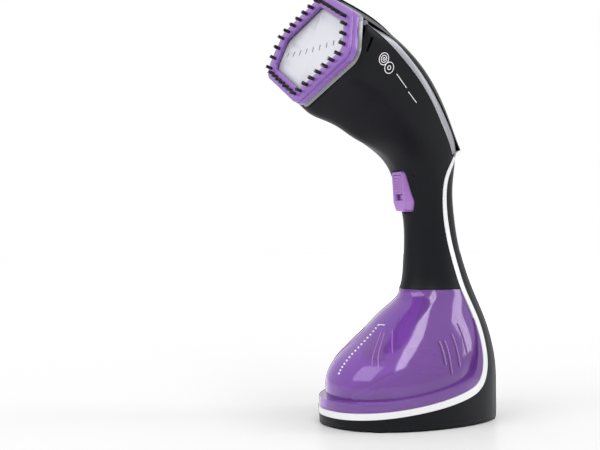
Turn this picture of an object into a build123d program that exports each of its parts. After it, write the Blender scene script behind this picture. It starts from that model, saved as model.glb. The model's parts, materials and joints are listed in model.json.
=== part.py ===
from build123d import *
import math
import os

# Handheld garment steamer: a curved body standing on its base, with a hexagonal steam plate at the
# head, a pull-out water tank at the front and a clip-on brush ring.
# Millimetres. Origin at the middle of the footprint on the table, +Z up, steam plate facing -Y.
# The body is symmetric about the plane x = 0.

# ---- driving dimensions -------------------------------------------------------------------------
WALL = 2.4                 # moulded casing wall
TANK_WALL = 2.0            # clear tank wall
GAP = 0.4                  # clearance round every moving piece
JOINT_Z = 97.5             # level where the handle sits on the tank
FOOT_H = 1.2               # rubber feet stand this far below the casing

PLATE_CENTRE = (0, -80.5, 269.0)
PLATE_TILT = 16.0          # steam plate leans back by this many degrees
PLATE_LENGTH = 70.5        # bottom corner to top corner
PLATE_HALF_WIDTH = 51.5
BEZEL_MARGIN = 2.8         # bezel's front edge stands out all round the plate by this much
BEZEL_FLARE = 3.2          # and it flares out by this much more where it meets the casing
PLATE_PROUD = 2.5          # steam face stands in front of the bezel by this much
BEZEL_DEPTH = 4.0

TIP_UNDER = (-8.7, 185.8)     # the plane where the head's trims end, from its underside ...
TIP_TOP = (44.0, 205.06)        # ... to the sharp tip at the back

COVER_PROUD = 0.5          # top cover and trims stand out from the casing
TIP_OVERHANG = 5.4         # the tip stands out behind the handle
CRADLE_SHEET = 2.2         # white wall between the tank and the inside of the base
BASE_SEAM = 16.0           # level where the rear cover sits on the base tub
TRIGGER_PIVOT = (-1.8, 181.6)  # trigger hinge, (y, z)
LOCK_TRAVEL = 4.6          # lock slider stroke
BRISTLES = 33

# Cross-sections of the casing from the base to the head. Each row gives the (y, z) of the front
# or under edge, the (y, z) of the back or top edge, the half width, the widest line's place
# between the two edges, the squareness of the oval and how far it is a hexagon.
SECTIONS = [
    ((-66.5, 0.0), (71.5, 0.0), 53.0, 0.50, 2.2, 0.0),
    ((-67.0, 14.0), (72.0, 14.0), 53.2, 0.50, 2.2, 0.0),
    ((-66.0, 28.0), (71.6, 28.0), 53.0, 0.51, 2.2, 0.0),
    ((-59.0, 42.0), (70.8, 42.0), 51.0, 0.52, 2.2, 0.0),
    ((-44.5, 56.0), (69.0, 56.0), 47.0, 0.51, 2.15, 0.0),
    ((-27.5, 70.0), (66.0, 70.0), 40.5, 0.50, 2.1, 0.0),
    ((-12.0, 84.0), (62.0, 84.0), 31.5, 0.49, 2.05, 0.0),
    ((-2.0, 97.5), (57.2, 97.5), 23.5, 0.50, 2.0, 0.0),
    ((0.8, 113.0), (51.0, 113.0), 20.0, 0.50, 2.0, 0.0),
    ((1.6, 132.0), (44.8, 132.0), 18.4, 0.50, 2.0, 0.0),
    ((1.2, 151.0), (40.3, 151.0), 18.6, 0.50, 2.1, 0.0),
    ((-3.0, 167.0), (37.5, 173.5), 20.5, 0.50, 2.2, 0.0),
    ((-8.7, 185.8), (37.0, 202.5), 28.0, 0.53, 2.4, 0.2),
    ((-28.0, 200.5), (13.8, 245.0), 43.2, 0.65, 2.4, 0.6),
    ((-48.6, 208.4), (-17.4, 284.8), 52.4, 0.64, 2.4, 0.9),
    ((-67.6, 216.9), (-43.4, 300.3), 57.0, 0.649, 2.4, 1.0),
    ((-85.9, 225.8), (-62.5, 307.5), 58.3, 0.656, 2.4, 1.0),
]
HEAD_START = 12            # first section of the head, at the tip

# The tank's own cross-sections: set back from the casing near the table, level with it higher up.
TANK_SECTIONS = [
    ((-62.0, 4.0), (66.0, 4.0), 48.6, 0.50, 2.2, 0.0),
    ((-62.0, 22.0), (66.0, 22.0), 48.6, 0.50, 2.2, 0.0),
    ((-61.0, 36.0), (66.0, 36.0), 48.4, 0.50, 2.2, 0.0),
    ((-57.0, 43.0), (65.5, 43.0), 47.8, 0.50, 2.2, 0.0),
    ((-43.5, 56.0), (65.0, 56.0), 45.6, 0.50, 2.15, 0.0),
    ((-27.5, 70.0), (63.5, 70.0), 39.8, 0.50, 2.1, 0.0),
    ((-12.0, 84.0), (60.5, 84.0), 31.0, 0.49, 2.05, 0.0),
    ((-2.0, 97.5), (57.0, 97.5), 23.4, 0.50, 2.0, 0.0),
]

# The white edge line in side view: (y, z) of its front edge and its width, tip to front.
PIPE_LINE = [
    (37.0, 211.0, 4.4),
    (25.3, 195.8, 4.2),
    (19.6, 182.0, 3.7),
    (19.2, 168.0, 3.6),
    (20.8, 152.0, 3.8),
    (25.0, 132.0, 4.2),
    (31.0, 110.0, 4.6),
    (36.4, 84.0, 5.0),
    (37.6, 60.0, 5.4),
    (36.6, 46.0, 5.6),
    (30.5, 32.5, 5.6),
    (15.0, 25.0, 5.2),
    (-23.0, 17.4, 4.6),
    (-50.0, 13.9, 4.6),
    (-90.0, 11.0, 4.6),
]

# The silver trim's upper and lower edges in side view, (y, z), from the bezel to the tip.
TRIM_TOP = [
    (-95.0, 292.5),
    (-72.0, 283.3),
    (-56.4, 275.3),
    (-47.1, 269.2),
    (-36.8, 262.0),
    (-23.6, 252.0),
    (-12.9, 243.4),
    (-0.7, 233.2),
    (12.0, 222.0),
    (22.0, 212.5),
    (31.0, 203.8),
    (41.0, 193.5),
]
TRIM_LOW = [
    (-95.0, 288.8),
    (-70.3, 278.6),
    (-50.2, 265.8),
    (-38.8, 258.1),
    (-25.8, 248.1),
    (-16.8, 240.0),
    (-6.9, 230.0),
    (4.6, 217.5),
    (16.2, 205.3),
    (23.4, 196.4),
    (32.0, 184.0),
]

# ---- frames -------------------------------------------------------------------------------------
tilt = math.radians(PLATE_TILT)
OUTWARD = Vector(0, -math.cos(tilt), math.sin(tilt))       # the way the steam leaves


def head_plane(depth):
    """Plane parallel to the steam face, this far behind it; its +Y runs up the face."""
    origin = Vector(*PLATE_CENTRE) - OUTWARD * depth
    return Plane(origin=origin, x_dir=(-1, 0, 0), z_dir=OUTWARD)


def across(face, half=90):
    """Slab made by running a side-view face right across the body."""
    return extrude(face, amount=half, dir=(1, 0, 0), both=True)


def box(x, y, z):
    """Box from three (low, high) pairs."""
    size = [pair[1] - pair[0] for pair in (x, y, z)]
    middle = [(pair[1] + pair[0]) / 2 for pair in (x, y, z)]
    return Pos(*middle) * Box(*size)


def rod(start, end, radius):
    """Round rod between two points."""
    run = Vector(*end) - Vector(*start)
    plane = Plane(origin=start, z_dir=run)
    return extrude(plane * Circle(radius), amount=run.length)


def tube(points, radius, bore, bend):
    """Flexible tube along straight runs with rounded bends."""
    path = FilletPolyline(*points, radius=bend)
    start = Plane(origin=points[0], z_dir=path % 0)
    return sweep(start * (Circle(radius) - Circle(bore)), path=path)


# ---- cross-sections -----------------------------------------------------------------------------
def oval_reach(angle, half_width, below, above, power):
    """Distance from a section's centre to its edge on a squared-off oval."""
    depth = above if math.sin(angle) > 0 else below
    sideways = abs(math.cos(angle) / half_width) ** power
    upward = abs(math.sin(angle) / depth) ** power
    return (sideways + upward) ** (-1 / power)


def hexagon_corners(length, half_width, low):
    """Corners of the plate's hexagon on its right side, bottom to top; low is the bottom's y."""
    return [
        (0, low),
        (0.845 * half_width, low + 0.288 * length),
        (half_width, low + 0.644 * length),
        (0, low + length),
    ]


def hexagon_reach(angle, half_width, below, above):
    """The same for the plate's hexagon with softened corners."""
    sharpness = 22
    corners = hexagon_corners(below + above, half_width, -below)
    total = 0
    for (x0, y0), (x1, y1) in zip(corners, corners[1:]):
        nx, ny = y1 - y0, x0 - x1
        offset = nx * x0 + ny * y0
        for side in (1, -1):
            part = (side * nx * math.cos(angle) + ny * math.sin(angle)) / offset
            total += max(0.0, part) ** sharpness
    return total ** (-1 / sharpness)


def section_wire(row, shrink=0.0, rear_extra=0.0):
    """Closed outline of one cross-section, drawn this much inside the casing's surface."""
    front, back, half_width, widest, power, hexagonal = row
    origin = Vector(0, *front)
    run = Vector(0, *back) - origin
    below = run.length * widest
    above = run.length - below + rear_extra
    centre = origin + run.normalized() * below
    up = run.normalized()
    steps = 24
    halves = []
    for side in (1, -1):
        points = []
        for step in range(steps + 1):
            angle = -math.pi / 2 + math.pi * step / steps
            oval = oval_reach(angle, half_width, below, above, power)
            hexagon = hexagon_reach(angle, half_width, below, above)
            reach = oval * (1 - hexagonal) + hexagon * hexagonal - shrink
            offset = Vector(side, 0, 0) * (reach * math.cos(angle)) + up * (reach * math.sin(angle))
            points.append(centre + offset)
        tangents = [(side, 0, 0), (-side, 0, 0)]
        halves.append(Spline(*points, tangents=tangents))
    return Wire([halves[0], halves[1]])


def moved_row(row, dy, dz):
    """Cross-section moved in side view."""
    front, back = row[0], row[1]
    return ((front[0] + dy, front[1] + dz), (back[0] + dy, back[1] + dz)) + row[2:]


def envelope(shrink=0.0):
    """Smooth solid through the cross-sections; an inner one runs past both open ends."""
    rows = list(SECTIONS)
    if shrink > 0:
        rows[0] = moved_row(rows[0], 0, -2)
        rows[-1] = moved_row(rows[-1], 2 * OUTWARD.Y, 2 * OUTWARD.Z)
    return Solid.make_loft([section_wire(row, shrink) for row in rows])


def tank_envelope(shrink=0.0):
    """Smooth solid through the tank's own cross-sections."""
    return Solid.make_loft([section_wire(row, shrink) for row in TANK_SECTIONS])


def cover_envelope():
    """Outside of the top cover: a little proud of the casing, and drawn out at the back tip."""
    rows = SECTIONS[HEAD_START:]
    last = len(rows) - 1
    overhangs = [0.6 + TIP_OVERHANG * (1 - index / last) ** 2 for index in range(last + 1)]
    wires = [section_wire(row, -COVER_PROUD, extra) for row, extra in zip(rows, overhangs)]
    return Solid.make_loft(wires)


# ---- side-view regions --------------------------------------------------------------------------
def shifted(line, amount=0.0, share=0.0):
    """Side-view line moved to its left-hand side, by a distance and a share of its width."""
    moved = []
    for index, (y, z, width) in enumerate(line):
        before = line[max(index - 1, 0)]
        after = line[min(index + 1, len(line) - 1)]
        dy, dz = after[0] - before[0], after[1] - before[1]
        length = math.hypot(dy, dz)
        step = amount + share * width
        moved.append((0, y - dz / length * step, z + dy / length * step))
    return moved


def region(points, *far):
    """Side-view region between a curve and a run of far-off corners."""
    curve = Spline(*points)
    corners = [curve @ 1] + [Vector(0, *corner) for corner in far] + [curve @ 0]
    return across(make_face([curve, Polyline(*corners)]))


def ahead_of_pipe(amount=0.0):
    """Everything in front of the white line, moved back by amount."""
    return region(shifted(PIPE_LINE, amount), (-140, 60), (-140, 340), (36, 340))


def behind_pipe(amount=0.0, share=0.0):
    """Everything behind and below the white line, moved back by amount."""
    return region(shifted(PIPE_LINE, amount, share), (-90, -40), (120, -40), (120, 230))


def above_tip():
    """Everything on the head's side of the plane through the tip."""
    run = (Vector(0, *TIP_TOP) - Vector(0, *TIP_UNDER)).normalized() * 60
    low = Vector(0, *TIP_UNDER) - run
    high = Vector(0, *TIP_TOP) + run
    corners = [(0, -140, low.Z), low, high, (0, high.Y, 340), (0, -140, 340)]
    return across(make_face(Polyline(*corners, close=True)))


def cover_region():
    """The top of the head, above the silver trims."""
    edge = [(0, y, z) for y, z in TRIM_TOP]
    return region(edge, (120, 192), (120, 340), (-95, 340)) & above_tip()


def trim_region():
    """The band that the silver trims fill on each side of the head."""
    edge = [(0, y, z) for y, z in TRIM_LOW]
    band = region(edge, (120, 170), (120, 340), (-95, 340)) & above_tip()
    return band - cover_region()


def level(low, high):
    """Flat slab between two heights."""
    return box((-90, 90), (-140, 120), (low, high))


# ---- casing -------------------------------------------------------------------------------------
OUTER = envelope()
INNER = envelope(WALL)
SHELL = OUTER - INNER
PROUD_SHELL = envelope(-COVER_PROUD) - INNER
COVER_ZONE = cover_region()
TRIM_ZONE = trim_region()
HEAD_ZONE = above_tip()


def side_half(solid, side):
    """The part of a solid on one side of the middle plane."""
    return solid & box(sorted((0, 120 * side)), (-140, 120), (-20, 340))


def trigger_plane():
    """Plane on the trigger's front face; its +Y runs down the face and +Z into the handle."""
    return Plane(origin=(0, -7.2, 170.2), x_dir=(1, 0, 0), z_dir=(0, 0.9945, 0.1045))


def trigger_outline(margin=0.0):
    """Front outline of the trigger, a little wider towards its rounded bottom."""
    corners = [(-6.4, -14.4), (6.4, -14.4), (7.3, 8), (4.8, 14.4), (-4.8, 14.4), (-7.3, 8)]
    sketch = make_face(Polyline(*corners, close=True))
    sketch = fillet(sketch.vertices(), 1.9)
    return offset(sketch, margin) if margin else sketch


def trigger_wedge(margin, depth, start=0.0):
    """Body of the trigger, flaring from its front face into the handle."""
    plane = trigger_plane().offset(start)
    return extrude(plane * trigger_outline(margin), amount=depth, taper=-14)


def hinge_pin(radius):
    """Rod across the handle on the trigger's hinge line."""
    return rod((-14.4, *TRIGGER_PIVOT), (14.4, *TRIGGER_PIVOT), radius)


def screw_places():
    """Outer end and length of each casing screw, driven in from the left side."""
    return [((-19.8, 26.0, 107.0), 7.5), ((-17.7, 21.0, 151.0), 7.0), ((-44.0, -22.0, 232.0), 8.0)]


def casing_screw(end, length, clearance=0.0):
    """One casing screw with its head at the left side's surface."""
    x, y, z = end
    head = rod((x, y, z), (x + 2.2, y, z), 2.7 + clearance)
    return head + rod((x, y, z), (x + length, y, z), 1.4 + clearance)


def side_shell(side):
    """One half of the head and handle casing."""
    shell = SHELL & level(JOINT_Z, 320)
    shell = shell - COVER_ZONE - TRIM_ZONE
    shell = shell - (behind_pipe() - HEAD_ZONE)
    shell = side_half(shell, side)
    slot = extrude(head_plane(13) * (Pos(0, 0.1) * Rectangle(130, 10)), amount=1.8)
    shell = shell - slot - trigger_wedge(0.6, 16, -1.5) - hinge_pin(1.5)
    shell = shell - rod((-11.6, *TRIGGER_PIVOT), (-8.6, *TRIGGER_PIVOT), 2.6)
    for end, length in screw_places():
        x, y, z = end
        shell = shell - casing_screw(end, length) - rod((x - 8, y, z), (x + 0.1, y, z), 2.9)
    return shell


def top_cover():
    """Cover over the top of the head, ending in the sharp tip."""
    return (cover_envelope() - INNER) & COVER_ZONE


def silver_trim(side):
    """Bright strip along one top edge of the head."""
    return side_half(PROUD_SHELL & TRIM_ZONE, side)


def tip_collar():
    """White band under the tip, carrying the edge line right out to the point."""
    outline = Face(section_wire(SECTIONS[HEAD_START], -COVER_PROUD, TIP_OVERHANG + 0.8))
    run = Vector(0, *TIP_TOP) - Vector(0, *TIP_UNDER)
    down = Vector(0, run.Z, -run.Y).normalized()
    return (extrude(outline, amount=2.4, dir=down) & behind_pipe()) - INNER


def white_cradle():
    """White L-shaped wall behind and below the tank, with the edge line round its rim."""
    rim = PROUD_SHELL & (behind_pipe() - behind_pipe(0, 1)) & level(3, 260)
    sheet = INNER & (behind_pipe() - behind_pipe(CRADLE_SHEET)) & level(3, JOINT_Z)
    wall = (rim - HEAD_ZONE) + sheet + (tip_collar() - HEAD_ZONE)
    for end, length in screw_places():
        wall = wall - casing_screw(end, length, 0.2)
    return wall - rod((0, 30, SPIGOT_Z), (0, 50, SPIGOT_Z), SPIGOT_R + 0.5)


def rear_cover():
    """Back of the handle and base, from the tip down to the seam."""
    cover = SHELL & behind_pipe(0, 1) & level(BASE_SEAM, 260)
    gland = rod((0, 55, GLAND_Z), (0, 90, GLAND_Z), GLAND_R)
    cover = cover - HEAD_ZONE - gland - tip_collar()
    return cover.solids().sort_by(SortBy.VOLUME)[-1]


def base_tub():
    """Low wall of the base under the white line."""
    return SHELL & behind_pipe(0, 1) & level(FOOT_H, BASE_SEAM)


def base_screw_places():
    """Middle of each screw through the bottom cover."""
    return [(x, y) for x in (-36, 36) for y in (-34, 42)]


def base_cover():
    """Bottom plate inside the tub's wall."""
    plate = INNER & level(FOOT_H, FOOT_H + 2.4)
    for x, y in base_screw_places():
        plate = plate - rod((x, y, -1), (x, y, 10), 1.6)
    return plate


def base_screws():
    """Four screws up through the bottom plate, heads below it inside the foot height."""
    screws = []
    for x, y in base_screw_places():
        head = rod((x, y, FOOT_H - 0.8), (x, y, FOOT_H), 2.8)
        screws.append(head + rod((x, y, FOOT_H), (x, y, FOOT_H + 8), 1.6))
    return Compound(screws)


def casing_screws():
    """Screws that hold the two casing halves together."""
    return Compound([casing_screw(end, length) for end, length in screw_places()])


def rubber_feet():
    """Four round feet near the rim and one in the middle."""
    places = [(0, 0, 14), (-30, -44, 7), (30, -44, 7), (-30, 52, 7), (30, 52, 7)]
    return Compound([rod((x, y, 0), (x, y, FOOT_H), radius) for x, y, radius in places])


def handle_floor():
    """Plate that closes the handle over the tank."""
    return INNER & (ahead_of_pipe()) & level(JOINT_Z, JOINT_Z + 2)


# ---- cord inlet ---------------------------------------------------------------------------------
GLAND_Z = 27.0
GLAND_R = 7.0
CORD_R = 3.6


def cord_gland():
    """Collar at the back where the mains cord goes in."""
    collar = rod((0, 66, GLAND_Z), (0, 71.6, GLAND_Z), GLAND_R)
    nut = rod((0, 61, GLAND_Z), (0, 66, GLAND_Z), GLAND_R + 2)
    return collar + nut - rod((0, 50, GLAND_Z), (0, 90, GLAND_Z), CORD_R)


# ---- tank ---------------------------------------------------------------------------------------
SPIGOT_Z = 44.0
SPIGOT_R = 4.0
FILLER = (-48.6, 2.0, 46.0)    # middle of the filler neck's mouth
FILLER_BORE = 6.5
FLANGE_HEIGHT = 7.0


def flange_strip():
    """Side-view strip along the white line that the flange fills, dying away up the back."""
    heights = [FLANGE_HEIGHT * min(1, max(0, (76 - z) / 36)) - 0.3 for y, z, width in PIPE_LINE]
    line = [(y, z, height) for (y, z, width), height in zip(PIPE_LINE, heights)]
    inner = region(shifted(line, -GAP, -1), (-140, 60), (-140, 340), (36, 340))
    return ahead_of_pipe(-GAP) - inner


def tank_body():
    """Clear tank moulding: outer walls, roof, foot flange and filler neck."""
    zone = ahead_of_pipe(-GAP) & level(2, JOINT_Z - GAP)
    solid = tank_envelope() & zone
    hollow = tank_envelope(TANK_WALL) & level(0, JOINT_Z - GAP - TANK_WALL)
    flange = ((OUTER - envelope(5.4)) & flange_strip() & level(2, 76)) - tank_envelope(TANK_WALL)
    x, y, z = FILLER
    neck = rod(FILLER, (x + 9, y, z), FILLER_BORE + 2)
    body = (solid - hollow) + flange + neck
    return body - rod((x - 5, y, z), (x + 14, y, z), FILLER_BORE)


def tank_back():
    """Floor and back wall of the tank, welded inside the clear moulding."""
    strip = ahead_of_pipe(-GAP) - ahead_of_pipe(-GAP - TANK_WALL)
    wall = tank_envelope(TANK_WALL) & strip & level(2, JOINT_Z - GAP - TANK_WALL)
    return wall - rod((0, 20, SPIGOT_Z), (0, 50, SPIGOT_Z), SPIGOT_R)


def tank_valve():
    """Valve housing in the tank's back corner, with the spigot that plugs into the base."""
    housing = box((-11, 11), (8, 27), (34, 52))
    housing = fillet(housing.edges().filter_by(Axis.Z), 2)
    spigot = rod((0, 26, SPIGOT_Z), (0, 46, SPIGOT_Z), SPIGOT_R)
    return housing + spigot - rod((0, 10, SPIGOT_Z), (0, 60, SPIGOT_Z), 2.2)


def pickup_tube():
    """Tube from the valve down to the low front corner of the tank."""
    tube_wall = rod((0, 7.9, 38), (0, -46, 19.5), 2.5) - rod((0, 8, 38), (0, -47, 19.2), 1.5)
    return tube_wall - box((-11, 11), (8, 27), (30, 52))


def filler_cap():
    """Soft stopper in the filler neck, with a pull rim."""
    x, y, z = FILLER
    stopper = rod((x - 0.4, y, z), (x + 6, y, z), FILLER_BORE - 0.3)
    return stopper + rod((x - 3, y, z), (x - 0.4, y, z), FILLER_BORE + 2.5)


def tank_socket():
    """Socket behind the white wall that the tank's spigot plugs into."""
    cup = rod((0, 40.6, SPIGOT_Z), (0, 53, SPIGOT_Z), 7.5)
    return cup - rod((0, 40, SPIGOT_Z), (0, 48.5, SPIGOT_Z), SPIGOT_R + 0.5)


# ---- water and power inside ---------------------------------------------------------------------
PUMP_Y = 23.0
PUMP_R = 7.0


def pump_body():
    """Plunger pump that stands in the handle."""
    return rod((0, PUMP_Y, 102), (0, PUMP_Y, 144), PUMP_R)


def pump_coil():
    """Coil block round the pump."""
    return box((-10, 10), (PUMP_Y - 10, PUMP_Y + 10), (112, 130)) - pump_body()


def pump_bracket():
    """Steel bracket that carries the pump."""
    back = box((-8, 8), (33.2, 34.6), (110, 134))
    shelf = box((-8, 8), (14, 34.6), (130.2, 131.6))
    return back + shelf - pump_body()


def suction_tube():
    """Tube from the tank socket up to the pump."""
    points = [(0, 48, 51.6), (0, 48, 88), (0, 40.5, 106), (0, 30.2, 106)]
    return tube(points, 2.4, 1.4, 4)


def delivery_tube():
    """Tube from the pump up to the steam chamber."""
    nozzle = head_plane(25).from_local_coords((0, -10, 0))
    points = [(0, 23, 144.2), (0, 22, 168), (0, 14, 202), (0, -28, 244), nozzle]
    return tube(points, 2.4, 1.4, 12)


def wire_harness():
    """Bundle of wires from the cord inlet up to the control board."""
    points = [(8, 58, 30), (8, 56.5, 62), (8, 49, 96), (8, 38.5, 124), (8, 33.2, 144)]
    return tube(points, 1.8, 0.6, 14)


def control_board():
    """Circuit board with its relay and connector."""
    board = box((-10, 10), (30.6, 32.2), (145, 184))
    relay = box((-7, 3), (26, 30.6), (162, 176))
    return board + relay + box((4, 10), (32.2, 34), (144.2, 150))


# ---- steam head ---------------------------------------------------------------------------------
def hexagon_face(margin=0.0, rounding=5.0):
    """The steam plate's outline, grown by margin, with rounded corners."""
    right = hexagon_corners(PLATE_LENGTH, PLATE_HALF_WIDTH, -PLATE_LENGTH / 2)
    left = [(-x, y) for x, y in reversed(right[1:-1])]
    sketch = make_face(Polyline(*right, *left, close=True))
    if margin:
        sketch = offset(sketch, margin, kind=Kind.INTERSECTION)
    return fillet(sketch.vertices(), rounding)


def head_block(margin, front, back, rounding=5.0):
    """Hexagonal block between two depths behind the steam face."""
    return extrude(head_plane(back) * hexagon_face(margin, rounding), amount=back - front)


def steam_hole(index, count=9):
    """Slit-like steam hole, part of a gentle bow across the plate."""
    place = index - (count - 1) / 2
    lean = Rot(0, 0, 90 - 6 * place)
    slit = Pos(9.3 * place, 0.2 - 0.075 * place ** 2) * (lean * SlotOverall(4.4, 1.5))
    return extrude(head_plane(7) * slit, amount=9)


def steam_plate():
    """Polished face plate with a row of steam holes."""
    plate = head_block(0, 0, 5)
    front = plate.faces().sort_by(Axis((0, 0, 0), tuple(OUTWARD)))[-1]
    plate = chamfer(front.edges(), 1.2)
    for index in range(9):
        plate = plate - steam_hole(index)
    return plate


def bezel():
    """Dark frame round the plate."""
    outline = head_plane(PLATE_PROUD) * hexagon_face(BEZEL_MARGIN, 7)
    slope = math.degrees(math.atan2(BEZEL_FLARE, BEZEL_DEPTH))
    frame = extrude(outline, amount=-BEZEL_DEPTH, taper=-slope)
    return frame - head_block(0.15, -1, 10)


def heater_corners():
    """Corners of the heating element's U-shaped line inside the casting."""
    plane = head_plane(12.5)
    corners = [(-20, 20), (-20, -14), (20, -14), (20, 20)]
    return [plane.from_local_coords((x, y, 0)) for x, y in corners]


def steam_chamber():
    """Cast aluminium heat block behind the plate, with the steam pocket."""
    block = head_block(-5, 5, 17)
    pocket = head_block(-9, 4, 8)
    return block - pocket - heater_envelope()


def heater_envelope():
    """Room that the heating element takes in the casting."""
    path = FilletPolyline(*heater_corners(), radius=12)
    return sweep(Plane(origin=path @ 0, z_dir=path % 0) * Circle(3.0), path=path)


def heating_element():
    """Sheathed heating rod cast into the block."""
    return tube(heater_corners(), 3.0, 0.4, 12)


def chamber_gasket():
    """Silicone seal between the casting and its cover."""
    return head_block(-5, 17, 18) - head_block(-10, 16, 19)


def chamber_cover():
    """Back plate of the steam chamber with its water inlet."""
    inlet = head_plane(25).from_local_coords((0, -10, 0))
    root = head_plane(20).from_local_coords((0, -10, 0))
    return head_block(-5, 18, 20) + (rod(inlet, root, 3.6) - rod(inlet, root, 2.4))


def thermostat():
    """Disc thermostat on the chamber cover."""
    return extrude(head_plane(26) * (Pos(16, 4) * Circle(7)), amount=6)


def thermal_fuse():
    """Thermal fuse beside the thermostat."""
    start = head_plane(22.2).from_local_coords((-24, 6, 0))
    end = head_plane(22.2).from_local_coords((-10, 6, 0))
    return rod(start, end, 2.2)


# ---- trigger ------------------------------------------------------------------------------------
LOCK_HALF = 4.6
LOCK_LENGTH = 13.8
LOCK_TOP = -11.8


def trigger():
    """Steam trigger: hollow at the back, with a recess for the lock slider."""
    body = trigger_wedge(0, 13)
    body = body - trigger_wedge(-2.4, 12, 4.5)
    plane = trigger_plane()
    recess_end = LOCK_TOP + LOCK_LENGTH + LOCK_TRAVEL
    middle = (LOCK_TOP + recess_end) / 2
    recess = Rectangle(2 * LOCK_HALF + 0.7, recess_end - LOCK_TOP + 0.8)
    body = body - extrude(plane.offset(-1) * (Pos(0, middle) * recess), amount=3.4)
    tab = extrude(plane.offset(4) * (Pos(0, 8) * Rectangle(14, 3)), amount=9.5)
    return body + tab - hinge_pin(1.55)


def lock_slider():
    """Ribbed slider that locks the trigger."""
    plane = trigger_plane()
    middle = LOCK_TOP + LOCK_LENGTH / 2
    pad = extrude(plane * (Pos(0, middle) * Rectangle(2 * LOCK_HALF, LOCK_LENGTH)), amount=2.0)
    for step in range(6):
        groove = Rectangle(2 * LOCK_HALF - 1.6, 0.8)
        place = Pos(0, LOCK_TOP + 2.2 + 2.0 * step)
        pad = pad - extrude(plane * (place * groove), amount=0.5)
    return pad


def trigger_pin():
    """Steel pin that the trigger swings on."""
    return hinge_pin(1.5)


def trigger_spring():
    """Torsion spring's coil round the pin, beside the trigger's left cheek."""
    return rod((-11.3, *TRIGGER_PIVOT), (-8.9, *TRIGGER_PIVOT), 2.4) - hinge_pin(1.6)


def switch_axis(distance):
    """Point on the line that the trigger's tab pushes along, this far into the handle."""
    return trigger_plane().from_local_coords((0, 8, distance))


def microswitch():
    """Small switch behind the trigger."""
    plane = trigger_plane().offset(17.2)
    body = extrude(plane * (Pos(0, 5.5) * Rectangle(6.4, 13)), amount=6.6)
    return body - rod(switch_axis(17), switch_axis(21), 1.4)


def switch_plunger():
    """Plunger of the microswitch, pushed in by the trigger's tab."""
    return rod(switch_axis(14.0), switch_axis(18.0), 1.2)


# ---- brush --------------------------------------------------------------------------------------
BRUSH_FACE = 3.4           # front of the brush's frame, this far in front of the steam face
RING_INNER = BEZEL_MARGIN + 1.2    # inside of the skirt, clear of the bezel's flared side


def brush_frame():
    """Ring that clips over the bezel and carries the bristles."""
    skirt = head_block(RING_INNER + 1.8, -0.6, 3.3, 9)
    waist = head_block(RING_INNER + 1.1, -1.4, -0.6, 8.6)
    rim = head_block(RING_INNER + 1.5, -BRUSH_FACE, -1.4, 9)
    hollow = head_block(RING_INNER, -0.8, 10, 7.4)
    opening = head_block(-3.4, -10, 10, 4)
    return (skirt + waist + rim) - hollow - opening


def brush_clip():
    """Spring tab on the ring's left side that holds it to the head."""
    sheet = head_block(RING_INNER + 4.3, -2.6, 11, 10) - head_block(RING_INNER + 3.0, -4, 3.2, 9)
    sheet = sheet - head_block(RING_INNER + 3.0, 3.1, 12, 9)
    foot = head_block(RING_INNER + 3.2, -0.4, 1.6, 9) - head_block(RING_INNER + 1.8, -4, 12, 9)
    place = head_plane(20) * (Pos(60, -2) * Rectangle(40, 13))
    clip = ((sheet + foot) & extrude(place, amount=40)) - PROUD_SHELL
    return clip.solids().sort_by(SortBy.VOLUME)[-1]


def ring_points(margin, count):
    """Evenly spaced places round the hexagon, with the way along it at each."""
    wire = hexagon_face(margin, 5).wire()
    return [wire @ (index / count) for index in range(count)]


def brush_bristles():
    """Tufts standing on the ring's front."""
    base = head_plane(-BRUSH_FACE)
    tufts = []
    for point in ring_points(0.4, BRISTLES):
        tufts.append(extrude(base * (Pos(point.X, point.Y) * Circle(1.2)), amount=5))
    return Compound(tufts)


# ---- write every piece --------------------------------------------------------------------------
PIECES = {
    "left_side_shell": lambda: side_shell(-1),
    "right_side_shell": lambda: side_shell(1),
    "top_cover": top_cover,
    "left_silver_trim": lambda: silver_trim(-1),
    "right_silver_trim": lambda: silver_trim(1),
    "rear_cover": rear_cover,
    "white_cradle": white_cradle,
    "base_tub": base_tub,
    "base_cover": base_cover,
    "base_screws": base_screws,
    "casing_screws": casing_screws,
    "rubber_feet": rubber_feet,
    "handle_floor": handle_floor,
    "cord_gland": cord_gland,
    "tank_body": tank_body,
    "tank_back": tank_back,
    "tank_valve": tank_valve,
    "pickup_tube": pickup_tube,
    "filler_cap": filler_cap,
    "tank_socket": tank_socket,
    "pump_body": pump_body,
    "pump_coil": pump_coil,
    "pump_bracket": pump_bracket,
    "suction_tube": suction_tube,
    "delivery_tube": delivery_tube,
    "wire_harness": wire_harness,
    "control_board": control_board,
    "steam_plate": steam_plate,
    "bezel": bezel,
    "steam_chamber": steam_chamber,
    "heating_element": heating_element,
    "chamber_gasket": chamber_gasket,
    "chamber_cover": chamber_cover,
    "thermostat": thermostat,
    "thermal_fuse": thermal_fuse,
    "trigger": trigger,
    "lock_slider": lock_slider,
    "trigger_pin": trigger_pin,
    "trigger_spring": trigger_spring,
    "microswitch": microswitch,
    "switch_plunger": switch_plunger,
    "brush_frame": brush_frame,
    "brush_clip": brush_clip,
    "brush_bristles": brush_bristles,
}


def write_pieces():
    """Write one STEP file per piece."""
    os.makedirs("parts", exist_ok=True)
    for name, make in PIECES.items():
        piece = make()
        export_step(piece, f"parts/{name}.step")
        print(name, len(piece.solids()), round(piece.volume))


write_pieces()
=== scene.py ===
"""Looks of the garment steamer: materials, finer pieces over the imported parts, light and camera."""
import json
import math

import bmesh
import bpy
from mathutils import Matrix, Vector
from mathutils.bvhtree import BVHTree


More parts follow.
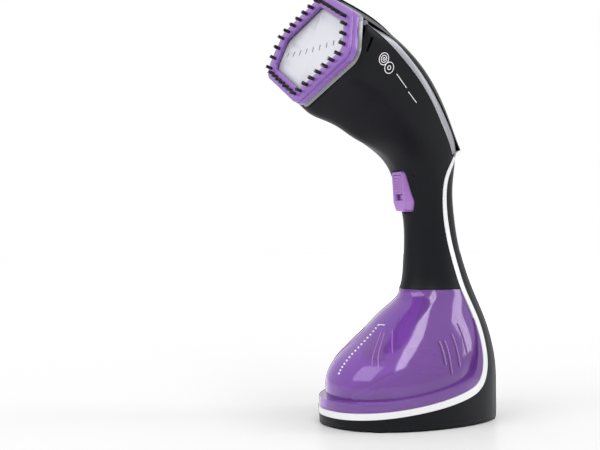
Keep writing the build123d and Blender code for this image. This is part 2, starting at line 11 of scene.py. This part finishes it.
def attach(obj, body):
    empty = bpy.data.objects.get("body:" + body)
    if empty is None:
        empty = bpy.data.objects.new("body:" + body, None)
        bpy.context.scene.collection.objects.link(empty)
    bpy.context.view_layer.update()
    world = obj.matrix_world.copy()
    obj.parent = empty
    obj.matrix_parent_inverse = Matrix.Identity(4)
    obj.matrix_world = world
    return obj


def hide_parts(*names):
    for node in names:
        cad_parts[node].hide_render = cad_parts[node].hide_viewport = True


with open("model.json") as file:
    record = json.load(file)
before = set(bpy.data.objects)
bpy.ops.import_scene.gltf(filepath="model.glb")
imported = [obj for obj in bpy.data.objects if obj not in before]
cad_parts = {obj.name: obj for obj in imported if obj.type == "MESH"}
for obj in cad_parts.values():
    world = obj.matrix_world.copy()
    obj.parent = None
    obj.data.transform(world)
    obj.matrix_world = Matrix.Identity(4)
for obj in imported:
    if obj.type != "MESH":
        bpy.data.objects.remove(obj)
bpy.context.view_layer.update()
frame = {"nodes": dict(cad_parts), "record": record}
NODES = frame["nodes"]
MM = 0.001
WELD = 4e-6                # split vertices closer than this are joined again, in metres


# ---- helpers ------------------------------------------------------------------------------------
def body_of(node):
    """The body that a CAD node rides on."""
    for name, nodes in frame["record"]["behaviour"]["bodies"].items():
        if node in nodes:
            return name
    return None


def new_object(name, mesh):
    """Object for a mesh, linked to the scene."""
    obj = bpy.data.objects.new(name, mesh)
    bpy.context.scene.collection.objects.link(obj)
    return obj


def mesh_object(name, work):
    """Object made from a bmesh, which is then freed."""
    mesh = bpy.data.meshes.new(name)
    work.to_mesh(mesh)
    work.free()
    return new_object(name, mesh)


def apply_modifiers(obj):
    """Bake an object's modifiers into its mesh."""
    graph = bpy.context.evaluated_depsgraph_get()
    mesh = bpy.data.meshes.new_from_object(obj.evaluated_get(graph), depsgraph=graph)
    obj.modifiers.clear()
    obj.data = mesh
    return obj


def smooth(obj, degrees=32):
    """Smooth shading with creases kept where faces meet at more than this angle."""
    mesh = obj.data
    for face in mesh.polygons:
        face.use_smooth = True
    mesh.set_sharp_from_angle(angle=math.radians(degrees))
    return obj


def finish_piece(obj, material, body):
    """Give a new piece its material and the body it rides on."""
    obj.data.materials.clear()
    obj.data.materials.append(material)
    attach(obj, body)
    return obj


def welded_copy(node, name):
    """New object with a CAD node's mesh, its split vertices joined again."""
    work = bmesh.new()
    work.from_mesh(NODES[node].data)
    bmesh.ops.remove_doubles(work, verts=work.verts, dist=WELD)
    bmesh.ops.dissolve_degenerate(work, edges=work.edges, dist=1e-6)
    return mesh_object(name, work)


def edged_copy(node, name, width, degrees=35, segments=2):
    """A CAD node's shape with its sharp edges rounded, which replaces it."""
    obj = welded_copy(node, name)
    bevel = obj.modifiers.new("edge", "BEVEL")
    bevel.width = width
    bevel.segments = segments
    bevel.limit_method = "ANGLE"
    bevel.angle_limit = math.radians(degrees)
    apply_modifiers(obj)
    smooth(obj, degrees)
    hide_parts(node)
    return finish_piece(obj, NODE_MATERIALS[node], body_of(node))


def bead_piece(name, lines, radius, material, body):
    """Thin round beads along runs of points, (points, closed) each, in millimetres."""
    curve = bpy.data.curves.new(name, "CURVE")
    curve.dimensions = "3D"
    curve.bevel_depth = radius * MM
    curve.bevel_resolution = 2
    curve.use_fill_caps = True
    for points, closed in lines:
        spline = curve.splines.new("POLY")
        spline.points.add(len(points) - 1)
        spline.use_cyclic_u = closed
        for point, place in zip(spline.points, points):
            point.co = (*(Vector(place) * MM), 1)
    holder = new_object(name + "_line", curve)
    graph = bpy.context.evaluated_depsgraph_get()
    mesh = bpy.data.meshes.new_from_object(holder.evaluated_get(graph), depsgraph=graph)
    bpy.data.objects.remove(holder)
    return finish_piece(smooth(new_object(name, mesh), 50), material, body)


def skin(node):
    """Search tree of a CAD node's surface."""
    work = bmesh.new()
    work.from_mesh(NODES[node].data)
    tree = BVHTree.FromBMesh(work)
    work.free()
    return tree


def side_point(tree, side, y, z, lift=0.0):
    """Point on the surface seen from one side at (y, z), lifted off it, in millimetres."""
    start = Vector((side * 150, y, z)) * MM
    hit = tree.ray_cast(start, Vector((-side, 0, 0)))[0]
    return tuple(hit / MM + Vector((side * lift, 0, 0)))


def front_point(tree, x, z, lift=0.0):
    """Point on the surface seen from the front at (x, z), lifted off it, in millimetres."""
    hit = tree.ray_cast(Vector((x, -200, z)) * MM, Vector((0, 1, 0)))[0]
    return tuple(hit / MM + Vector((0, -lift, 0)))


def run_between(start, end, steps):
    """Evenly spaced pairs from one to the other."""
    shares = [step / steps for step in range(steps + 1)]
    return [tuple(a + (b - a) * share for a, b in zip(start, end)) for share in shares]


# ---- materials ----------------------------------------------------------------------------------
class Nodes:
    """Short way to add shader nodes to a material."""

    def __init__(self, name):
        self.material = bpy.data.materials.new(name)
        self.material.use_nodes = True
        self.tree = self.material.node_tree
        self.shader = self.tree.nodes["Principled BSDF"]

    def add(self, kind, **values):
        node = self.tree.nodes.new(kind)
        for key, value in values.items():
            if key in node.inputs:
                node.inputs[key].default_value = value
            else:
                setattr(node, key, value)
        return node

    def link(self, start, end):
        self.tree.links.new(start, end)

    def position(self, scale=(1, 1, 1)):
        """Object coordinates, stretched along the axes."""
        coordinates = self.add("ShaderNodeTexCoord")
        mapping = self.add("ShaderNodeMapping", Scale=scale)
        self.link(coordinates.outputs["Object"], mapping.inputs["Vector"])
        return mapping.outputs["Vector"]

    def noise(self, scale, detail=3.0, stretch=(1, 1, 1)):
        """Noise of so many cells per metre."""
        noise = self.add("ShaderNodeTexNoise", Scale=scale, Detail=detail)
        self.link(self.position(stretch), noise.inputs["Vector"])
        return noise.outputs["Fac"]

    def span(self, value, low, high):
        """A 0 to 1 value mapped to a range."""
        ramp = self.add("ShaderNodeMapRange")
        ramp.inputs["To Min"].default_value = low
        ramp.inputs["To Max"].default_value = high
        self.link(value, ramp.inputs["Value"])
        return ramp.outputs["Result"]

    def mix(self, factor, first, second):
        """Blend between two colours."""
        mix = self.add("ShaderNodeMix", data_type="RGBA")
        mix.inputs["A"].default_value = (*first, 1)
        mix.inputs["B"].default_value = (*second, 1)
        self.link(factor, mix.inputs["Factor"])
        return mix.outputs["Result"]

    def bump(self, height, strength, distance):
        """Bump from a height, on top of any bump there already."""
        bump = self.add("ShaderNodeBump", Strength=strength, Distance=distance)
        self.link(height, bump.inputs["Height"])
        before = self.shader.inputs["Normal"].links
        if before:
            self.link(before[0].from_socket, bump.inputs["Normal"])
        self.link(bump.outputs["Normal"], self.shader.inputs["Normal"])

    def set(self, **values):
        for key, value in values.items():
            socket = self.shader.inputs[key.replace("_", " ")]
            socket.default_value = (*value, 1) if isinstance(value, tuple) else value


def moulded(name, colour, roughness, grain=0.05, coat=0.0, tone=0.12, **more):
    """Moulded plastic or rubber: fine texture, faint flow marks in the colour, uneven gloss."""
    made = Nodes(name)
    made.set(Metallic=0.0, Coat_Weight=coat, Coat_Roughness=0.12, **more)
    darker = tuple(c * (1 - tone) for c in colour)
    lighter = tuple(min(1, c * (1 + tone)) for c in colour)
    made.link(made.mix(made.noise(38, 4), darker, lighter), made.shader.inputs["Base Color"])
    gloss = made.span(made.noise(140, 5), roughness * 0.9, roughness * 1.12)
    made.link(gloss, made.shader.inputs["Roughness"])
    made.bump(made.noise(2600, 2), grain, 0.0001)
    return made.material


def metal(name, colour, roughness, stretch=(1, 1, 1), grain=0.08, scale=900, metallic=1.0):
    """Metal with fine directional marks."""
    made = Nodes(name)
    made.set(Metallic=metallic)
    marks = made.noise(scale, 4, stretch)
    darker = tuple(c * 0.92 for c in colour)
    made.link(made.mix(marks, darker, colour), made.shader.inputs["Base Color"])
    made.link(made.span(marks, roughness * 0.8, roughness * 1.25), made.shader.inputs["Roughness"])
    made.bump(marks, grain, 0.00005)
    return made.material


def clear_violet():
    """Tinted clear plastic of the tank."""
    made = Nodes("clear_violet_plastic")
    made.set(Metallic=0.0, IOR=1.46, Transmission_Weight=0.76, Specular_IOR_Level=0.28)
    made.set(Coat_Weight=0.12, Coat_Roughness=0.16)
    tint = made.mix(made.noise(16, 3), (0.31, 0.105, 0.53), (0.36, 0.14, 0.58))
    made.link(tint, made.shader.inputs["Base Color"])
    made.link(made.span(made.noise(90, 3), 0.07, 0.12), made.shader.inputs["Roughness"])
    made.bump(made.noise(55, 2), 0.05, 0.0006)
    return made.material


BLACK = moulded(
    "satin_black_plastic", (0.0040, 0.0043, 0.0060), 0.42, 0.08, Specular_IOR_Level=0.10)
GLOSS_BLACK = moulded(
    "gloss_black_plastic", (0.006, 0.006, 0.008), 0.3, 0.02, coat=0.03, Specular_IOR_Level=0.14)
# Brighter grey for the bezel's flared side: a painted reflection on the gloss black part.
BEZEL_REFLECTION_GREY = moulded("painted_reflection_grey", (0.14, 0.14, 0.15), 0.26, 0.03, coat=0.3)
DARK = moulded("dark_grey_plastic", (0.05, 0.05, 0.055), 0.5, 0.1)
WHITE = moulded("gloss_white_plastic", (0.52, 0.52, 0.53), 0.28, 0.02, coat=0.08, tone=0.02)
RUBBER = moulded("black_rubber", (0.02, 0.02, 0.02), 0.75, 0.3)
SILICONE = moulded("silicone", (0.66, 0.64, 0.63), 0.38, 0.05, tone=0.04, Subsurface_Weight=0.2)
VIOLET = moulded("violet_plastic", (0.15, 0.058, 0.27), 0.3, 0.04, coat=0.15)
# Lilac: the own colour of the trigger, lock slider and valve, also used as painted highlight along
# the tank's side grooves.
LILAC_AND_PAINTED_HIGHLIGHT = moulded("lilac_plastic", (0.26, 0.115, 0.37), 0.36, 0.05, coat=0.1)
# Dark violet used as painted shade on the trigger slot's floor and in the tank's side grooves, and as
# the colour of the valve marks.
SHADE_AND_MARK_VIOLET = moulded("violet_painted_shade_and_marks", (0.045, 0.008, 0.09), 0.45, 0.05)
PRINT = moulded("pale_print", (0.74, 0.72, 0.76), 0.5, 0.02, tone=0.03)
BRISTLE = moulded("black_nylon", (0.012, 0.012, 0.014), 0.3, 0.1)
SILVER = metal("silver_lacquer", (0.25, 0.25, 0.275), 0.38, scale=3200, metallic=0.6)
STEEL = metal("bright_steel", (0.62, 0.62, 0.64), 0.28, (1, 1, 0.05))
CAST = metal("cast_aluminium", (0.58, 0.59, 0.61), 0.48, scale=500, grain=0.3)
FACE = metal(
    "pearl_face_plate", (0.50, 0.51, 0.545), 0.34, (1, 0.04, 0.04), scale=1500, metallic=0.3)
COPPER = metal(
    "lacquered_copper", (0.62, 0.27, 0.12), 0.3, (0.02, 0.02, 1), scale=2200, grain=0.6)
BOARD = moulded("green_solder_mask", (0.02, 0.14, 0.06), 0.35, 0.08, tone=0.3)
CLEAR = clear_violet()

NODE_MATERIALS = {
    "left_side_shell": BLACK, "right_side_shell": BLACK, "top_cover": BLACK,
    "left_silver_trim": SILVER, "right_silver_trim": SILVER, "rear_cover": BLACK,
    "white_cradle": WHITE, "base_tub": BLACK, "base_cover": DARK, "base_screws": STEEL,
    "casing_screws": STEEL, "rubber_feet": RUBBER, "handle_floor": DARK, "cord_gland": RUBBER,
    "tank_socket": DARK, "pump_body": STEEL, "pump_coil": COPPER, "pump_bracket": STEEL,
    "suction_tube": SILICONE, "delivery_tube": SILICONE, "wire_harness": DARK,
    "control_board": BOARD, "steam_plate": FACE, "bezel": GLOSS_BLACK, "steam_chamber": CAST,
    "heating_element": STEEL, "chamber_gasket": SILICONE, "chamber_cover": CAST,
    "thermostat": STEEL, "thermal_fuse": STEEL, "trigger_pin": STEEL, "trigger_spring": STEEL,
    "microswitch": DARK, "trigger": LILAC_AND_PAINTED_HIGHLIGHT, "lock_slider": LILAC_AND_PAINTED_HIGHLIGHT, "switch_plunger": DARK,
    "tank_body": CLEAR, "tank_back": CLEAR, "tank_valve": LILAC_AND_PAINTED_HIGHLIGHT, "pickup_tube": SILICONE,
    "filler_cap": SILICONE, "brush_frame": VIOLET, "brush_clip": VIOLET, "brush_bristles": BRISTLE,
}


def dress_nodes():
    """Give every CAD node its material."""
    for name, material in NODE_MATERIALS.items():
        mesh = NODES[name].data
        mesh.materials.clear()
        mesh.materials.append(material)


# ---- steam head ---------------------------------------------------------------------------------
LEAN = math.radians(16)
FACE_MIDDLE = Vector((0, -80.5, 269.0))
FACE_UP = Vector((0, math.sin(LEAN), math.cos(LEAN)))
FACE_OUT = Vector((0, -math.cos(LEAN), math.sin(LEAN)))
FAN_ROOT = (2.0, -24.0)    # the hollows of the plate spread from here
LEAF_COUNT = 9
LEAF_FIRST = -66           # lean of the first hollow, in degrees
LEAF_STEP = 15.5
LEAF_LONGEST = 4.6         # place in the row where the hollows are longest
LEAF_WIDTH = 3.4
LEAF_THICKNESS = 2.2
LEAF_LIFT = 1.72           # the cutters' middles lie this far in front of the plate
TUFT_ROOT = 2.9            # the hairs start this far behind the middle of a tuft
TUFT_RADIUS = 1.08
HAIRS = 19                 # hairs in a tuft
HAIR_LENGTH = 5.2
HAIR_SIDES = 6
HAIR_TAPER = [(0, 0.19), (0.9, 0.165), (1.0, 0.08)]    # share of the length, radius
GOLDEN_ANGLE = 2.399963
PRINT_LIFT = 0.02
RING_STEPS = 40
RING_MARKS = [((-55.7, 257.3), (3.9, 2.3, 0.9)), ((-50.2, 252.0), (3.7, 1.3))]    # middle, radii
BAR_MARKS = [((-43.3, 248.6), (-33.0, 240.0)), ((-31.0, 237.6), (-22.5, 230.8))]


def on_face(x, up, out=0.0):
    """Point given across, up and out from the middle of the steam face, in millimetres."""
    return FACE_MIDDLE + Vector((x, 0, 0)) + FACE_UP * up + FACE_OUT * out


def add_leaf(work, middle, along, length, width):
    """Long slim ellipsoid over the plate; where it dips in, it leaves a leaf-shaped hollow."""
    made = bmesh.ops.create_uvsphere(work, u_segments=28, v_segments=18, radius=1.0)
    side = along.cross(FACE_OUT)
    for vert in made["verts"]:
        x, y, z = vert.co
        out = y * LEAF_THICKNESS + LEAF_LIFT
        place = middle + along * (z * length) + side * (x * width) + FACE_OUT * out
        vert.co = place * MM


def grooved_plate():
    """Face plate with the fan of shallow hollows, which replaces the plain one."""
    plate = welded_copy("steam_plate", "steam_plate_grooved")
    cutter = bmesh.new()
    for index in range(LEAF_COUNT):
        angle = math.radians(LEAF_FIRST + LEAF_STEP * index)
        along = Vector((math.sin(angle), 0, 0)) + FACE_UP * math.cos(angle)
        reach = 31 - 6 * abs(index - LEAF_LONGEST) / 4
        middle = on_face(*FAN_ROOT) + along * reach
        add_leaf(cutter, middle, along, reach - 6, LEAF_WIDTH)
    tool = mesh_object("plate_cutter", cutter)
    cut = plate.modifiers.new("hollows", "BOOLEAN")
    cut.operation = "DIFFERENCE"
    cut.solver = "EXACT"
    cut.use_self = True
    cut.object = tool
    apply_modifiers(plate)
    bpy.data.objects.remove(tool)
    smooth(plate, 24)
    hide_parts("steam_plate")
    finish_piece(plate, FACE, "casing")


def bezel_with_painted_reflection():
    """Bezel with a gloss black front and a brighter grey flared side, which is a painted reflection.
    """
    obj = edged_copy("bezel", "bezel_shaped", 0.25 * MM, 30)
    obj.data.materials.append(BEZEL_REFLECTION_GREY)
    # Faces turned partly outwards, on the flare, get the painted reflection grey.
    for face in obj.data.polygons:
        face.material_index = 1 if 0.3 < face.normal.dot(FACE_OUT) < 0.93 else 0


def hair_tufts():
    """Tufts of separate hairs in the places of the plain bristle tufts."""
    source = bmesh.new()
    source.from_mesh(NODES["brush_bristles"].data)
    bmesh.ops.remove_doubles(source, verts=source.verts, dist=WELD)
    left = set(source.verts)
    middles = []
    while left:
        island, edge = set(), [left.pop()]
        while edge:
            vert = edge.pop()
            island.add(vert)
            for link in vert.link_edges:
                other = link.other_vert(vert)
                if other in left:
                    left.discard(other)
                    edge.append(other)
        middles.append(sum((vert.co for vert in island), Vector()) / len(island) / MM)
    source.free()
    work = bmesh.new()
    across = Vector((1, 0, 0))
    for tuft, middle in enumerate(middles):
        root = middle - FACE_OUT * TUFT_ROOT
        for hair in range(HAIRS):
            turn = hair * GOLDEN_ANGLE + tuft
            spread = TUFT_RADIUS * math.sqrt((hair + 0.5) / HAIRS)
            aside = across * (math.cos(turn) * spread) + FACE_UP * (math.sin(turn) * spread)
            length = HAIR_LENGTH + 0.35 * math.sin(hair * 5.1 + tuft * 1.7)
            add_hair(work, root + aside, root + aside * 1.25 + FACE_OUT * length)
    obj = finish_piece(smooth(mesh_object("bristle_hairs", work), 60), BRISTLE, "brush")
    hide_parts("brush_bristles")


def add_hair(work, root, tip):
    """Slightly tapered hair with a narrow tip."""
    run = (tip - root).normalized()
    first = run.cross(Vector((0, 0.3, 1))).normalized()
    second = run.cross(first)
    rings = []
    for share, radius in HAIR_TAPER:
        middle = root + (tip - root) * share
        ring = []
        for side in range(HAIR_SIDES):
            turn = 2 * math.pi * side / HAIR_SIDES
            offset = first * math.cos(turn) + second * math.sin(turn)
            ring.append(work.verts.new((middle + offset * radius) * MM))
        rings.append(ring)
    for low, high in zip(rings, rings[1:]):
        for side in range(HAIR_SIDES):
            nxt = (side + 1) % HAIR_SIDES
            work.faces.new((low[side], low[nxt], high[nxt], high[side]))
    work.faces.new(rings[-1])
    work.faces.new(list(reversed(rings[0])))


def ring_line(tree, middle, radius):
    """Circle printed on the head's right side."""
    points = []
    for step in range(RING_STEPS):
        turn = 2 * math.pi * step / RING_STEPS
        y = middle[0] + radius * math.cos(turn)
        z = middle[1] + radius * math.sin(turn)
        points.append(side_point(tree, 1, y, z, PRINT_LIFT))
    return points, True


def printed_marks():
    """Two plain ring symbols and two bars on the right side of the head."""
    tree = skin("right_side_shell")
    lines = []
    for middle, radii in RING_MARKS:
        lines += [ring_line(tree, middle, radius) for radius in radii]
    for start, end in BAR_MARKS:
        run = run_between(start, end, 10)
        lines.append(([side_point(tree, 1, y, z, PRINT_LIFT) for y, z in run], False))
    bead_piece("head_marks", lines, 0.24, PRINT, "casing")


# ---- trigger and tank ---------------------------------------------------------------------------
PIN_RADIUS = 1.5
PIN_LENGTH = 26.0
PIVOT = Vector((0, -1.8, 181.6))
TRIGGER_FACE = Vector((0, -7.2, 170.2))
TRIGGER_DOWN = Vector((0, 0.1045, -0.9945))
TRIGGER_IN = Vector((0, 0.9945, 0.1045))
SLOT_PIECES = [            # name, reach across, reach down, depth range, material
    # the floor's dark violet is painted shade at the bottom of the slot
    ("trigger_slot_floor_shade", (-4.3, 4.3), (2.4, 6.5), (2.15, 2.5), SHADE_AND_MARK_VIOLET),
    ("trigger_slot_block", (-0.6, 3.9), (2.9, 6.2), (2.02, 2.3), LILAC_AND_PAINTED_HIGHLIGHT),
]
DOTS = 16
DOT_RADIUS = 0.72
DOT_LOW = 38.5             # height of the lowest dot of the level scale
DOT_STEP = 2.2
FRONT_RIBS = [((9.9, 67), (25.5, 45.6)), ((13.5, 66.5), (30, 44.5)), ((18, 68.5), (31, 54))]
# side grooves, each drawn as a dark line of painted shade with a lilac line of painted highlight
# beside it
SIDE_GROOVE_PATHS = [
    ((-1.7, 61.7), (0.4, 45)), ((2.6, 62), (5.4, 38)),
    ((10.1, 66), (13.3, 43)), ((18.9, 73), (21.6, 52)),
]
VALVE_SIDE = 11.05         # just off the right side of the valve housing
GLAND_HEIGHT = 27


def short_pin():
    """Trigger pin with eased ends that stays inside the casing, which replaces the plain rod."""
    work = bmesh.new()
    radius = PIN_RADIUS * MM
    made = bmesh.ops.create_cone(
        work, cap_ends=True, segments=32, radius1=radius, radius2=radius, depth=PIN_LENGTH * MM)
    bmesh.ops.rotate(work, verts=made["verts"], matrix=Matrix.Rotation(math.pi / 2, 3, "Y"))
    bmesh.ops.translate(work, verts=made["verts"], vec=PIVOT * MM)
    ends = [edge for edge in work.edges if abs(edge.verts[0].co.x - edge.verts[1].co.x) < 1e-6]
    bmesh.ops.bevel(work, geom=ends, offset=0.3 * MM, segments=3, affect="EDGES", profile=0.5)
    obj = finish_piece(smooth(mesh_object("trigger_pin_eased", work), 50), STEEL, "casing")
    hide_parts("trigger_pin")


def trigger_window():
    """Floor darkened with painted shade and small raised block in the slot under the lock slider."""
    for name, (left, right), (low, high), depth, material in SLOT_PIECES:
        work = bmesh.new()
        corners = []
        for inset in depth:
            for x, reach in ((left, low), (right, low), (right, high), (left, high)):
                place = TRIGGER_FACE + Vector((x, 0, 0))
                place = place + TRIGGER_DOWN * reach + TRIGGER_IN * inset
                corners.append(work.verts.new(place * MM))
        work.faces.new(corners[:4])
        work.faces.new(corners[4:])
        for index in range(4):
            nxt = (index + 1) % 4
            work.faces.new((corners[index], corners[nxt], corners[nxt + 4], corners[index + 4]))
        bmesh.ops.recalc_face_normals(work, faces=work.faces)
        bmesh.ops.bevel(work, geom=work.edges[:], offset=0.06 * MM, segments=2, affect="EDGES")
        finish_piece(mesh_object(name, work), material, "trigger")


def tank_marks():
    """Level scale on the tank's front, ribs on its front, grooves on its sides drawn as lines of
    painted shade and painted highlight, marks on its valve.
    """
    tree = skin("tank_body")
    dots = bmesh.new()
    for step in range(DOTS):
        place = Vector(front_point(tree, 2.0, DOT_LOW + DOT_STEP * step, 0.3)) * MM
        made = bmesh.ops.create_uvsphere(
            dots, u_segments=14, v_segments=9, radius=DOT_RADIUS * MM)
        bmesh.ops.translate(dots, vec=place, verts=made["verts"])
    finish_piece(smooth(mesh_object("level_dots", dots)), PRINT, "water_tank")
    line = [front_point(tree, x, 72.0, 0.03) for x in (2.5, 4, 6, 8)]
    bead_piece("level_top_line", [(line, False)], 0.3, PRINT, "water_tank")
    ribs = []
    for start, end in FRONT_RIBS:
        for side in (-1, 1):
            run = run_between(start, end, 14)
            ribs.append(([front_point(tree, side * a, z, -0.1) for a, z in run], False))
    bead_piece("front_ribs", ribs, 0.32, LILAC_AND_PAINTED_HIGHLIGHT, "water_tank")
    # Each groove is a dark bead of painted shade, with a lilac bead of painted highlight 1.3 mm along
    # from it.
    groove_shade_lines, groove_highlight_lines = [], []
    for side in (-1, 1):
        for start, end in SIDE_GROOVE_PATHS:
            run = run_between(start, end, 14)
            groove_shade_lines.append(([side_point(tree, side, y, z, -0.12) for y, z in run], False))
            groove_highlight_lines.append(([side_point(tree, side, y + 1.3, z, -0.1) for y, z in run], False))
    bead_piece("side_groove_painted_shade", groove_shade_lines, 0.5, SHADE_AND_MARK_VIOLET, "water_tank")
    marks = [([(VALVE_SIDE, 16.5, 49.4), (VALVE_SIDE, 23.5, 49.4)], False)]
    for z in (49.0, 45.6, 42.2):
        marks.append(([(VALVE_SIDE, 9.8, z), (VALVE_SIDE, 10.8, z)], False))
    bead_piece("valve_marks", marks, 0.45, SHADE_AND_MARK_VIOLET, "water_tank")
    bead_piece("side_groove_painted_highlight", groove_highlight_lines, 0.4, LILAC_AND_PAINTED_HIGHLIGHT, "water_tank")


def gland_rings():
    """Raised rings round the cord inlet's collar."""
    lines = []
    turns = [2 * math.pi * step / 36 for step in range(36)]
    for y, radius in ((71.65, 5.4), (70.55, 7.0)):
        sides = [(radius * math.cos(turn), radius * math.sin(turn)) for turn in turns]
        lines.append(([(x, y, GLAND_HEIGHT + rise) for x, rise in sides], True))
    bead_piece("gland_rings", lines, 0.4, RUBBER, "casing")


# ---- stage --------------------------------------------------------------------------------------
CAMERA_PLACE = Vector((0.6549, -0.4608, 0.137))
CAMERA_HEADING = 56.0      # degrees from the front towards the right side
CAMERA_LENS = 64.1         # mm on a 36 mm sensor
VIEW_SHIFT = (-0.14166667, 0.01833333)    # across and up, as shares of the view's width
LIGHTS = [                 # name, place, aim, width, height, power
    ("key", (0.1, -1.1, 0.9), (0, 0, 0.15), 1.0, 0.9, 9),
    ("rim", (0.6, 0.9, 0.6), (0, 0, 0.15), 0.3, 1.0, 5),
    ("strip_high", (0.54, -0.22, 1.15), (0, 0, 0.08), 0.28, 1.4, 9),
]


def make_camera():
    """Camera level with the middle of the body, with the view shifted to keep uprights upright."""
    data = bpy.data.cameras.new("camera")
    data.lens = CAMERA_LENS
    data.sensor_width = 36
    data.clip_start = 0.01
    data.shift_x, data.shift_y = VIEW_SHIFT
    camera = bpy.data.objects.new("camera", data)
    bpy.context.scene.collection.objects.link(camera)
    heading = math.radians(CAMERA_HEADING)
    look = Vector((-math.sin(heading), math.cos(heading), 0))
    camera.location = CAMERA_PLACE
    camera.rotation_euler = look.to_track_quat("-Z", "Y").to_euler()
    bpy.context.scene.camera = camera


def soft_light(name, place, aim, width, height, power):
    """Rectangular soft box aimed at a point."""
    data = bpy.data.lights.new(name, "AREA")
    data.shape = "RECTANGLE"
    data.size = width
    data.size_y = height
    data.energy = power
    light = bpy.data.objects.new(name, data)
    light.location = place
    light.rotation_euler = (Vector(aim) - Vector(place)).to_track_quat("-Z", "Y").to_euler()
    bpy.context.scene.collection.objects.link(light)


def make_stage():
    """Floor that catches the shadow, white surroundings and soft lights."""
    floor = bmesh.new()
    bmesh.ops.create_grid(floor, x_segments=1, y_segments=1, size=6)
    floor_object = mesh_object("floor", floor)
    made = Nodes("pale_floor")
    made.set(Base_Color=(0.93, 0.93, 0.94), Roughness=0.35)
    floor_object.data.materials.append(made.material)
    floor_object.is_shadow_catcher = True
    world = bpy.data.worlds.new("studio")
    world.use_nodes = True
    background = world.node_tree.nodes["Background"]
    background.inputs["Color"].default_value = (1, 1, 1, 1)
    background.inputs["Strength"].default_value = 1.0
    bpy.context.scene.world = world
    for light in LIGHTS:
        soft_light(*light)
    bpy.context.scene.view_settings.view_transform = "Standard"


# ---- build --------------------------------------------------------------------------------------
dress_nodes()
grooved_plate()
bezel_with_painted_reflection()
edged_copy("trigger", "trigger_shaped", 0.7 * MM, 40, 3)
edged_copy("lock_slider", "lock_slider_shaped", 0.14 * MM, 40)
edged_copy("brush_frame", "brush_frame_shaped", 0.3 * MM, 40)
edged_copy("brush_clip", "brush_clip_shaped", 0.2 * MM, 40)
edged_copy("rubber_feet", "feet_shaped", 0.2 * MM, 40)
edged_copy("filler_cap", "filler_cap_shaped", 0.35 * MM, 40, 3)
hair_tufts()
short_pin()
trigger_window()
printed_marks()
tank_marks()
gland_rings()
make_camera()
make_stage()
